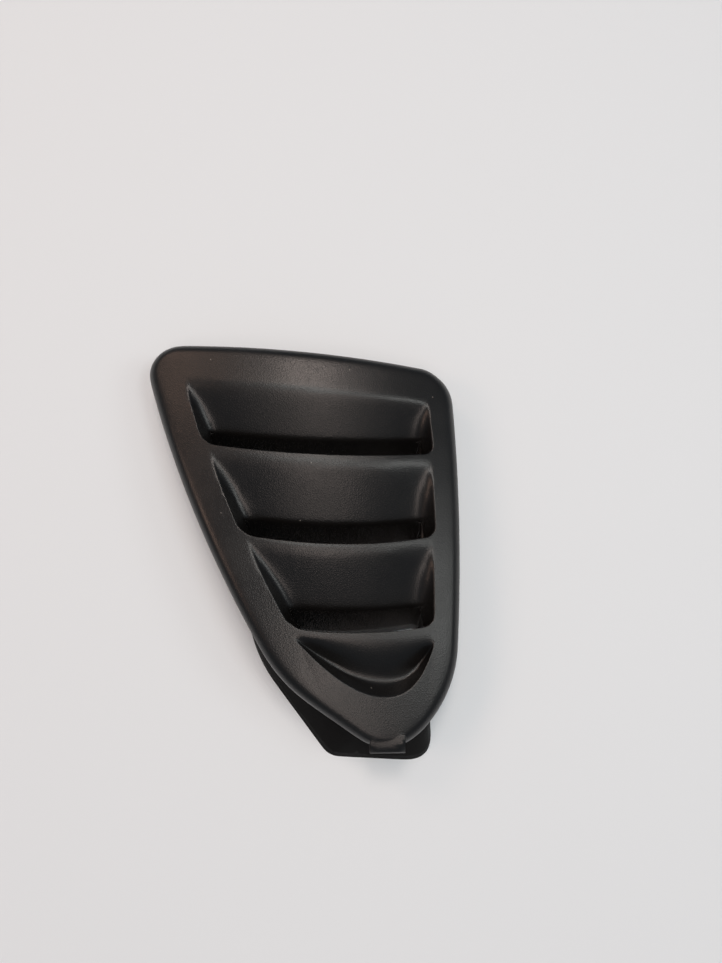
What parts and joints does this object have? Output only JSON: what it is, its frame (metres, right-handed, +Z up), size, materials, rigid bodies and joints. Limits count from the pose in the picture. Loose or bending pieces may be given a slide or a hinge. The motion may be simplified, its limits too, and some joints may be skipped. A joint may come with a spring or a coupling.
{
  "type": "side air deflector",
  "caption": "Black moulded air deflector for a dashboard side outlet: a crowned, rounded triangular face with louvred scoops over a raked duct collar that snaps into the opening.",
  "frame": {"origin": "middle of the length and the width, on the plane of the collar's foot that it stands on", "axes": "+Z up out of the louvred face, +Y towards the wide end, +X towards the straight side"},
  "size_m": [0.1206, 0.1582, 0.026],
  "materials": {
    "black_plastic": "fine leather grain, satin"
  },
  "bodies": {
    "root": {"air_deflector": "black_plastic"}
  },
  "joints": []
}
